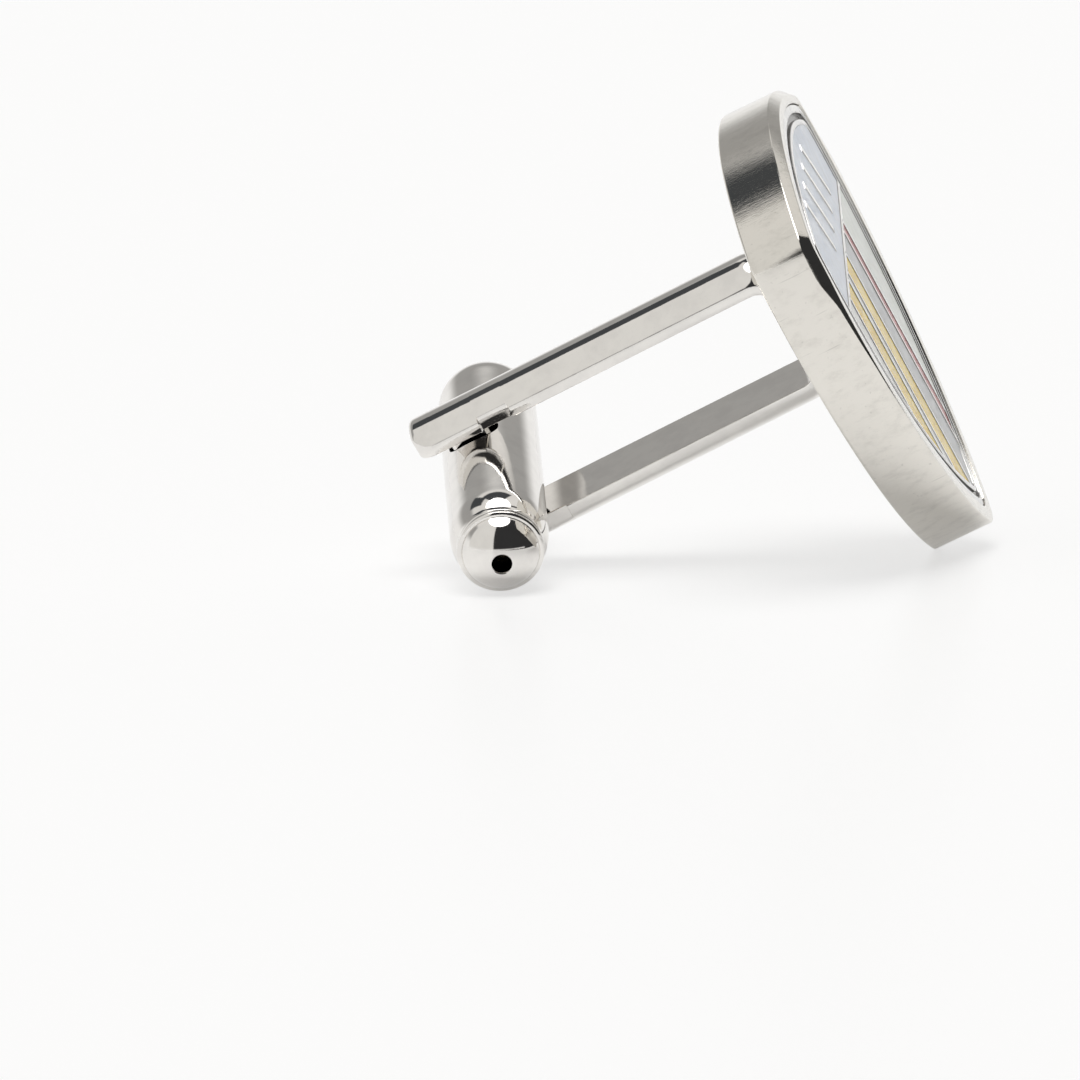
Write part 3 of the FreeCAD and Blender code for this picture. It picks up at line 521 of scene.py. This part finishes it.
def end_inset(x, radius):
    """How far a tip's rounded end lies inside the strip's surface."""
    short = min(max(radius - TIP_REACH - x, 0), radius)
    return radius - math.sqrt(radius ** 2 - short ** 2)


def crown_height(y):
    """Height of the strip's round side at a distance from its middle."""
    crown_r = (STRIP_W ** 2 / 4 + STRIP_CROWN ** 2) / (2 * STRIP_CROWN)
    return STRIP_EDGE + STRIP_CROWN - crown_r + math.sqrt(crown_r ** 2 - y * y)


def dressed(x, rise):
    """Height on the strip's section after its tips are rounded."""
    full = STRIP_EDGE + STRIP_CROWN
    low, high = end_inset(x, END_FLAT), end_inset(x, END_CROWN)
    return low + rise * (full - low - high) / full


def half_widths(x):
    """Left (near, -Y) and right (far, +Y) half widths of an arm at a distance along it."""
    half = STRIP_W / 2
    from_tip = max(x + TIP_REACH, 0)
    plan = half
    if from_tip < TIP_ROUND:
        plan = half - TIP_ROUND + math.sqrt(TIP_ROUND ** 2 - (TIP_ROUND - from_tip) ** 2)

    def notch(start, end):
        """Depth of a crimp notch here."""
        into, out_of = (x - start) / NOTCH_SLOPE, (end - x) / NOTCH_SLOPE
        return NOTCH_DEPTH * min(max(into, 0), 1) * min(max(out_of, 0), 1)

    right = min(plan, half - notch(*FAR_NOTCH))
    left = min(plan, half - notch(*NEAR_NOTCH))
    return left, right


PLAIN_ARM = (3, 13)
bridge_x = REACH - SOLDER + BRIDGE_FLAT - STRIP_EDGE - STRIP_CROWN
stations = []
for k in range(END_STEPS + 1):
    stations.append(-TIP_REACH + TIP_ROUND * (1 - math.cos(math.pi / 2 * k / END_STEPS)))
for start, end in (FAR_NOTCH, NEAR_NOTCH):
    stations += [start, start + NOTCH_SLOPE, end - NOTCH_SLOPE, end]
stations += [*range(*PLAIN_ARM), bridge_x - BEND]
stations = sorted(set(round(x, 4) for x in stations))
fork_rings = []
for x in stations:
    fork_rings.append((x, GAP / 2, (0, 1), half_widths(x)))
for k in range(1, BEND_STEPS + 1):
    a = math.pi / 2 * k / BEND_STEPS
    fork_rings.append((bridge_x - BEND + BEND * math.sin(a), GAP / 2 - BEND + BEND * math.cos(a),
                       (math.sin(a), math.cos(a)), (STRIP_W / 2, STRIP_W / 2)))
for x, z, (nx, nz), widths in fork_rings[::-1]:
    fork_rings.append((x, -z, (nx, -nz), widths))
fork_verts = []
for x, z, (nx, nz), (left, right) in fork_rings:
    for y, rise in strip_section(left, right):
        rise = dressed(x, rise)
        px = x + nx * rise
        pz = z + nz * rise
        fork_verts.append((min(px, REACH - SOLDER + pz * math.tan(HEAD_TILT)), y, pz))
ring = len(fork_verts) // len(fork_rings)
fork_faces = ring_faces(len(fork_rings), ring)
fork_faces.append(tuple(range(ring)))
fork_faces.append(tuple(range(len(fork_verts) - ring, len(fork_verts))))
add_piece("fork_strip", fork_verts, fork_faces, "head", POLISHED, "shank_fork")

# Toggle barrel with its two pivot eyes
RING_START, RING_PITCH, RING_COUNT = 5.6, 0.2, 59
neck_r = BARREL_R - SHOULDER_DROP
shoulder_a = math.acos(1 - SHOULDER_DROP / SHOULDER_R)
shoulder_y = SHOULDER_END - SHOULDER_R * math.sin(shoulder_a)
lip = SHOULDER_END + NECK
groove = SHOULDER_END + NECK / 2
barrel_line = [(0, FAR_LEN)]
for degrees in range(FAR_DOME_STEP, 91, FAR_DOME_STEP):
    a = math.radians(degrees)
    barrel_line.append((BARREL_R * math.sin(a), FAR_LEN - BARREL_R + BARREL_R * math.cos(a)))
barrel_line += [(BARREL_R, RING_START - RING_PITCH * k) for k in range(RING_COUNT)]
for k in range(SHOULDER_STEPS + 1):
    a = shoulder_a * k / SHOULDER_STEPS
    drop = SHOULDER_R * (1 - math.cos(a))
    barrel_line.append((BARREL_R - drop, -shoulder_y - SHOULDER_R * math.sin(a)))
barrel_line += rounded([(neck_r, -SHOULDER_END), (neck_r, -groove + NECK_GROOVE),
                        (neck_r - NECK_GROOVE, -groove), (neck_r, -groove - NECK_GROOVE),
                        (neck_r, -lip + LIP_CHAMFER), (neck_r - LIP_CHAMFER, -lip),
                        (BORE_R, -lip)], NECK_EDGE, NECK_STEPS)[1:]
barrel_line += [(BORE_R, BORE_END), (0, BORE_END)]
barrel_verts, barrel_faces = revolve(barrel_line, SEGMENTS)
barrel = add_piece("barrel_turned", barrel_verts, barrel_faces, "toggle", POLISHED,
                   "toggle_barrel")


def cut_eyes(piece):
    """Cut the pivot eyes through the barrel's wall."""
    verts = []
    count, past = EYE_SEGMENTS, 3.0
    for z in (-past, past):
        for k in range(count):
            a = 2 * math.pi * k / count
            verts.append(to_row @ Vector((EYE_R * math.cos(a), EYE_R * math.sin(a), z)))
    faces = ring_faces(2, count)
    faces.append(tuple(range(count)))
    faces.append(tuple(range(count, 2 * count)))
    mesh = bpy.data.meshes.new("eye_cutter")
    mesh.from_pydata(verts, [], faces)
    work = bmesh.new()
    work.from_mesh(mesh)
    bmesh.ops.recalc_face_normals(work, faces=work.faces)
    work.to_mesh(mesh)
    work.free()
    cutter = bpy.data.objects.new("eye_cutter", mesh)
    bpy.context.scene.collection.objects.link(cutter)
    weight = piece.modifiers["even_normals"]
    piece.modifiers.remove(weight)
    cut = piece.modifiers.new("eyes", "BOOLEAN")
    cut.operation = "DIFFERENCE"
    cut.solver = "EXACT"
    cut.object = cutter
    graph = bpy.context.evaluated_depsgraph_get()
    made = bpy.data.meshes.new_from_object(piece.evaluated_get(graph))
    piece.modifiers.remove(cut)
    old = piece.data
    piece.data = made
    bpy.data.objects.remove(cutter)
    bpy.data.meshes.remove(old)
    made.shade_smooth()
    made.set_sharp_from_angle(angle=SHARP)


cut_eyes(barrel)

# Domed end plug with its vent
dome_r = BORE_R + FLANGE
ball = (dome_r ** 2 + DOME_RISE ** 2) / (2 * DOME_RISE)
ball_y = ball - lip - DOME_RISE
rim_a = math.degrees(math.asin(dome_r / ball))
vent_a = math.degrees(math.asin((VENT_R + VENT_EDGE) / ball))
vent_y = ball_y - math.sqrt(ball ** 2 - (VENT_R + VENT_EDGE) ** 2)
VENT_STRAIGHT, VENT_CURVE = 0.10, ((0.008, 0.05), (0.025, 0.02), (VENT_EDGE, 0))
back_y = PLUG_SHANK - lip
plug_line = [(VENT_R, back_y), (VENT_R, ball_y - math.sqrt(ball ** 2 - VENT_R ** 2) + VENT_STRAIGHT)]
plug_line += [(VENT_R + out, vent_y + up) for out, up in VENT_CURVE]
for k in range(1, DOME_STEPS + 1):
    a = math.radians(vent_a + (rim_a - vent_a) * k / DOME_STEPS)
    plug_line.append((ball * math.sin(a), ball_y - ball * math.cos(a)))
shank_r = BORE_R - PLUG_FIT
plug_line += [(dome_r - PLUG_FIT, -lip), (shank_r, -lip), (shank_r, back_y), (VENT_R, back_y)]
plug_verts, plug_faces = revolve(plug_line, PLUG_SEGMENTS)
add_piece("plug_dome", plug_verts, plug_faces, "toggle", POLISHED, "end_plug")

# Materials on the solids that stay
KEPT_METALS = {"solder_bed": SOLDER_DULL, "pivot_stud_upper": POLISHED, "pivot_stud_lower": POLISHED,
               "detent_plunger": BRASS, "detent_spring": STEEL_WIRE}
for name, material in {**ENAMELS, **KEPT_METALS}.items():
    nodes[name].data.materials.clear()
    nodes[name].data.materials.append(material)

# Floor: a pale sheet, white to the camera with the shadow kept
# In reflections it ends to the right, at a slanting edge with a dark table beyond
FLOOR = 1.5
WHITE_TO_CAMERA, WHITE_TO_METAL = 0.6, 0.3
SHEET_END, SHEET_SOFT, SHEET_SLANT = 0.045, 0.004, 0.3
floor_mesh = bpy.data.meshes.new("floor")
floor_corners = [(-FLOOR, -FLOOR, 0), (FLOOR, -FLOOR, 0), (FLOOR, FLOOR, 0), (-FLOOR, FLOOR, 0)]
floor_mesh.from_pydata(floor_corners, [], [(0, 1, 2, 3)])
floor = bpy.data.objects.new("floor", floor_mesh)
bpy.context.scene.collection.objects.link(floor)
floor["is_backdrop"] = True
floor_material = bpy.data.materials.new("floor_white")
floor_material.use_nodes = True
tree = floor_material.node_tree
shader = tree.nodes["Principled BSDF"]
shader.inputs["Base Color"].default_value = (0.98, 0.98, 0.98, 1)
shader.inputs["Roughness"].default_value = 0.3
shader.inputs["Specular IOR Level"].default_value = 0.35
glow = node(tree, "ShaderNodeEmission")
glow.inputs["Color"].default_value = (1, 1, 1, 1)
glow.inputs["Strength"].default_value = 1.0
path = node(tree, "ShaderNodeLightPath")
blend = node(tree, "ShaderNodeMixShader")
to_camera = math_node(tree, "MULTIPLY", path.outputs["Is Camera Ray"], WHITE_TO_CAMERA)
to_metal = math_node(tree, "MULTIPLY", path.outputs["Is Glossy Ray"], WHITE_TO_METAL)
tree.links.new(math_node(tree, "MAXIMUM", to_camera, to_metal), blend.inputs[0])
tree.links.new(shader.outputs[0], blend.inputs[1])
tree.links.new(glow.outputs[0], blend.inputs[2])
table = node(tree, "ShaderNodeBsdfDiffuse")
table.inputs["Color"].default_value = (0.03, 0.03, 0.03, 1)
spot = node(tree, "ShaderNodeTexCoord")
place = node(tree, "ShaderNodeSeparateXYZ")
tree.links.new(spot.outputs["Object"], place.inputs[0])
slant = math_node(tree, "MULTIPLY", place.outputs["Y"], SHEET_SLANT)
across = math_node(tree, "SUBTRACT", place.outputs["X"], slant)
beyond = ramp(tree, across, (SHEET_END - SHEET_SOFT, SHEET_END + SHEET_SOFT), (0, 1))
ended = node(tree, "ShaderNodeMixShader")
tree.links.new(math_node(tree, "MULTIPLY", beyond, path.outputs["Is Glossy Ray"]), ended.inputs[0])
tree.links.new(blend.outputs[0], ended.inputs[1])
tree.links.new(table.outputs[0], ended.inputs[2])
tree.links.new(ended.outputs[0], tree.nodes["Material Output"].inputs[0])
floor_mesh.materials.append(floor_material)

# Studio: a pale room with panels and dark openings, given as patches of direction
world = bpy.data.worlds.new("studio")
bpy.context.scene.world = world
world.use_nodes = True
tree = world.node_tree
background = tree.nodes["Background"]
coords = node(tree, "ShaderNodeTexCoord")
parts = node(tree, "ShaderNodeSeparateXYZ")
tree.links.new(coords.outputs["Generated"], parts.inputs[0])
DEGREES = 180 / math.pi
rise = math_node(tree, "MULTIPLY", math_node(tree, "ARCSINE", parts.outputs["Z"]), DEGREES)
ahead = math_node(tree, "MULTIPLY", parts.outputs["Y"], -1.0)
front_turn = math_node(tree, "MULTIPLY", math_node(tree, "ARCTAN2", parts.outputs["X"], ahead), DEGREES)
behind = math_node(tree, "ARCTAN2", parts.outputs["X"], parts.outputs["Y"])
back_turn = math_node(tree, "MULTIPLY", behind, DEGREES)


def patch(colour, value, turn_angle, centre, half, level, half_level, soft):
    """Lay a soft-edged panel of one brightness over the surround; all angles in degrees."""
    aside = math_node(tree, "ABSOLUTE", math_node(tree, "SUBTRACT", turn_angle, centre))
    above = math_node(tree, "ABSOLUTE", math_node(tree, "SUBTRACT", rise, level))
    mask = math_node(tree, "MULTIPLY", ramp(tree, aside, (half - soft, half + soft), (1, 0)),
                     ramp(tree, above, (half_level - soft, half_level + soft), (1, 0)))
    return mix_colour(tree, mask, colour, value)


BACKDROP, GREY_ROOM = (0.95, 0.945, 0.935), (0.38, 0.375, 0.365)
PALE_WALL, PALE_PANEL = (0.82, 0.805, 0.78), (0.80, 0.79, 0.765)
SOFTBOX, DARK_GAP, DARK_ROOM = (4.8, 4.78, 4.74), (0.062, 0.066, 0.071), (0.035, 0.035, 0.036)
ALL_ROUND = 400
# White backdrop low down, fading to a mid-grey room at the back, pale walls over that
studio = patch(BACKDROP, GREY_ROOM, back_turn, centre=0, half=105, level=30, half_level=14, soft=8)
studio = patch(studio, PALE_WALL, back_turn, centre=0, half=ALL_ROUND, level=56, half_level=13, soft=3)
# Overhead softbox
studio = patch(studio, SOFTBOX, back_turn, centre=0, half=ALL_ROUND, level=90, half_level=22, soft=2)
# Dark gap behind the softbox, lower at its left end
studio = patch(studio, DARK_GAP, back_turn, centre=-45, half=14, level=48, half_level=10, soft=1.5)
studio = patch(studio, DARK_GAP, back_turn, centre=-2, half=32, level=60, half_level=9, soft=1.5)
# Pale panel to the camera's left, dark room behind the camera and to its right
studio = patch(studio, PALE_PANEL, front_turn, centre=-55, half=45, level=35, half_level=33, soft=3)
studio = patch(studio, DARK_ROOM, front_turn, centre=26, half=47, level=35, half_level=33, soft=2)
studio = patch(studio, DARK_ROOM, front_turn, centre=90, half=20, level=28, half_level=40, soft=2)
tree.links.new(studio, background.inputs["Color"])
background.inputs["Strength"].default_value = 1.0

# Camera: the photograph's view of the toggle's end, in the local axes
toward = (0.167 * axis_x - 0.903 * axis_y + 0.395 * axis_z).normalized()
right = (0.882 * axis_x - 0.043 * axis_y - 0.470 * axis_z)
right = (right - right.dot(toward) * toward).normalized()
upward = toward.cross(right)
DISTANCE, SENSOR, CLIP_START = 0.7, 36.0, 0.01
FRAME_PIXELS, PIXELS_PER_MM = 1080, 24.2
PIVOT_ACROSS, PIVOT_DOWN = 493, 469.6
PIXEL = MM / PIXELS_PER_MM
half_frame = FRAME_PIXELS / 2
aim = pivot + right * (half_frame - PIVOT_ACROSS) * PIXEL - upward * (half_frame - PIVOT_DOWN) * PIXEL
camera_data = bpy.data.cameras.new("camera")
camera_data.sensor_width = SENSOR
camera_data.lens = SENSOR * (DISTANCE / PIXEL) / FRAME_PIXELS
camera_data.clip_start = CLIP_START
camera = bpy.data.objects.new("camera", camera_data)
camera_turn = Matrix((right, upward, toward)).transposed().to_4x4()
camera.matrix_world = Matrix.Translation(aim + toward * DISTANCE) @ camera_turn
bpy.context.scene.collection.objects.link(camera)
bpy.context.scene.camera = camera

bpy.context.scene.view_settings.view_transform = "Standard"

low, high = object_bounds()
